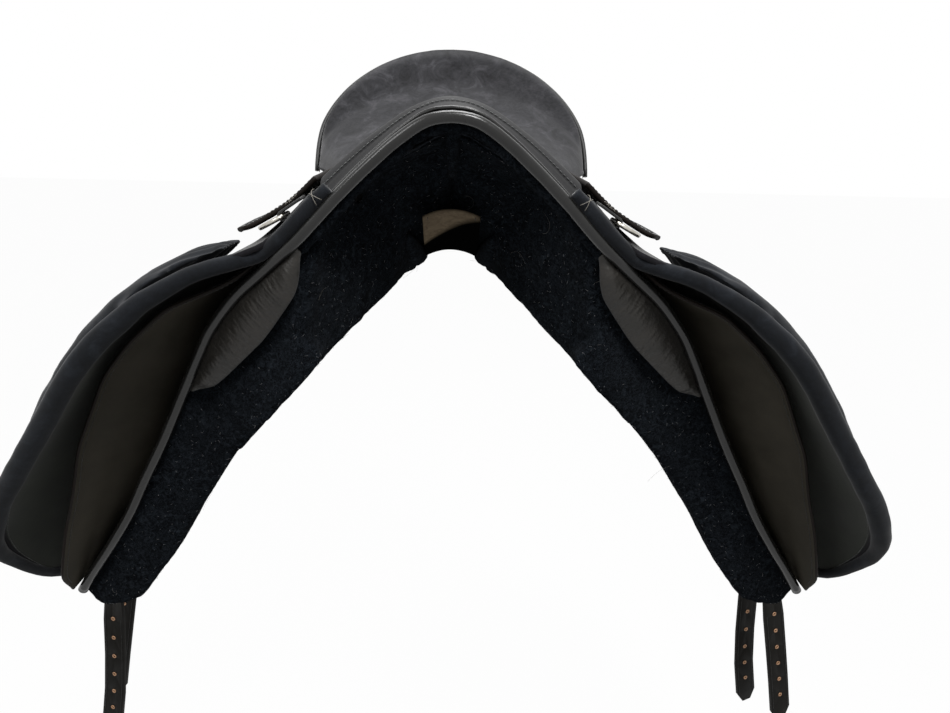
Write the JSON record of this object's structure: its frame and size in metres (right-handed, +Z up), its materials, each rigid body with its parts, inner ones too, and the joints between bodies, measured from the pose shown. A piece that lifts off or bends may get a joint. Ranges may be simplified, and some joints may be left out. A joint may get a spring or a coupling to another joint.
{
  "type": "dressage saddle",
  "caption": "English dressage saddle: deep seat on a wooden tree, long flaps with outside thigh blocks, felt panels and girth billets.",
  "frame": {"origin": "on the centre plane under the deepest part of the seat, at the height where the rear panels bear on the horse's back", "axes": "+Z up, away from the horse's back; -Y towards the pommel; -X towards the saddle flap on the left of the picture, +X towards the one on the right"},
  "size_m": [0.8786, 0.487, 0.8179],
  "materials": {
    "black_leather": "smooth black leather",
    "nubuck": "sanded charcoal nubuck",
    "brown_black_leather": "fine-grained brown-black leather",
    "felt": "black felted wool over flocking",
    "steel": "forged steel",
    "nickel": "nickel-plated wire",
    "wood": "laminated beech",
    "foam": "cream seat foam",
    "webbing": "undyed linen webbing"
  },
  "bodies": {
    "saddle_body": {"arch_plate": "steel", "cantle_back": "black_leather", "cantle_welt": "black_leather", "channel_lining": "brown_black_leather", "front_roll": "black_leather", "pommel_cover": "black_leather", "pommel_welt": "black_leather", "seat_cover": "nubuck", "seat_foam": "foam", "seat_web_cross": "webbing", "seat_web_long": "webbing", "tree": "wood", "panel_left": "felt", "panel_facing_left": "brown_black_leather", "sweat_flap_left": "brown_black_leather", "stirrup_bar_left": "steel", "tree_point_left": "wood", "girth_web_front_left": "webbing", "girth_web_rear_left": "webbing", "panel_right": "felt", "panel_facing_right": "brown_black_leather", "sweat_flap_right": "brown_black_leather", "stirrup_bar_right": "steel", "tree_point_right": "wood", "girth_web_front_right": "webbing", "girth_web_rear_right": "webbing"},
    "flap_left": {"flap_left": "black_leather", "thigh_block_left": "nubuck", "ring_chape_left": "black_leather"},
    "skirt_left": {"skirt_left": "black_leather"},
    "d_ring_left": {"d_ring_left": "nickel"},
    "catch_left": {"bar_catch_left": "steel"},
    "front_billet_left": {"front_billet_left": "brown_black_leather"},
    "rear_billet_left": {"rear_billet_left": "brown_black_leather"},
    "flap_right": {"flap_right": "black_leather", "thigh_block_right": "nubuck", "ring_chape_right": "black_leather"},
    "skirt_right": {"skirt_right": "black_leather"},
    "d_ring_right": {"d_ring_right": "nickel"},
    "catch_right": {"bar_catch_right": "steel"},
    "front_billet_right": {"front_billet_right": "brown_black_leather"},
    "rear_billet_right": {"rear_billet_right": "brown_black_leather"}
  },
  "joints": [
    {"name": "flap_lift_left", "type": "hinge", "parent": "saddle_body", "child": "flap_left", "pos_m": [-0.10886, -0.112, 0.14622], "axis": [0, 1, 0], "range_deg": [0, 70]},
    {"name": "skirt_lift_left", "type": "hinge", "parent": "flap_left", "child": "skirt_left", "pos_m": [-0.10886, -0.112, 0.14622], "axis": [0, 1, 0], "range_deg": [0, 80]},
    {"name": "d_ring_swing_left", "type": "hinge", "parent": "flap_left", "child": "d_ring_left", "pos_m": [-0.13076, -0.188, 0.11863], "axis": [0, 1, 0], "range_deg": [0, 90]},
    {"name": "bar_catch_turn_left", "type": "hinge", "parent": "saddle_body", "child": "catch_left", "pos_m": [-0.11858, -0.0544, 0.12625], "axis": [-0.7071, 0, 0.7071], "range_deg": [-80, 0]},
    {"name": "front_billet_swing_left", "type": "hinge", "parent": "saddle_body", "child": "front_billet_left", "pos_m": [-0.20358, -0.068, 0.03306], "axis": [-0.7071, 0, 0.7071], "range_deg": [-1, 2.3]},
    {"name": "rear_billet_swing_left", "type": "hinge", "parent": "saddle_body", "child": "rear_billet_left", "pos_m": [-0.20358, -0.018, 0.03306], "axis": [-0.7071, 0, 0.7071], "range_deg": [-2.3, 1]},
    {"name": "flap_lift_right", "type": "hinge", "parent": "saddle_body", "child": "flap_right", "pos_m": [0.10886, -0.112, 0.14622], "axis": [0, -1, 0], "range_deg": [0, 70]},
    {"name": "skirt_lift_right", "type": "hinge", "parent": "flap_right", "child": "skirt_right", "pos_m": [0.10886, -0.112, 0.14622], "axis": [0, -1, 0], "range_deg": [0, 80]},
    {"name": "d_ring_swing_right", "type": "hinge", "parent": "flap_right", "child": "d_ring_right", "pos_m": [0.13076, -0.188, 0.11863], "axis": [0, -1, 0], "range_deg": [0, 90]},
    {"name": "bar_catch_turn_right", "type": "hinge", "parent": "saddle_body", "child": "catch_right", "pos_m": [0.11858, -0.0544, 0.12625], "axis": [0.7071, 0, 0.7071], "range_deg": [0, 80]},
    {"name": "front_billet_swing_right", "type": "hinge", "parent": "saddle_body", "child": "front_billet_right", "pos_m": [0.20358, -0.068, 0.03306], "axis": [0.7071, 0, 0.7071], "range_deg": [-2.3, 1]},
    {"name": "rear_billet_swing_right", "type": "hinge", "parent": "saddle_body", "child": "rear_billet_right", "pos_m": [0.20358, -0.018, 0.03306], "axis": [0.7071, 0, 0.7071], "range_deg": [-1, 2.3]}
  ]
}
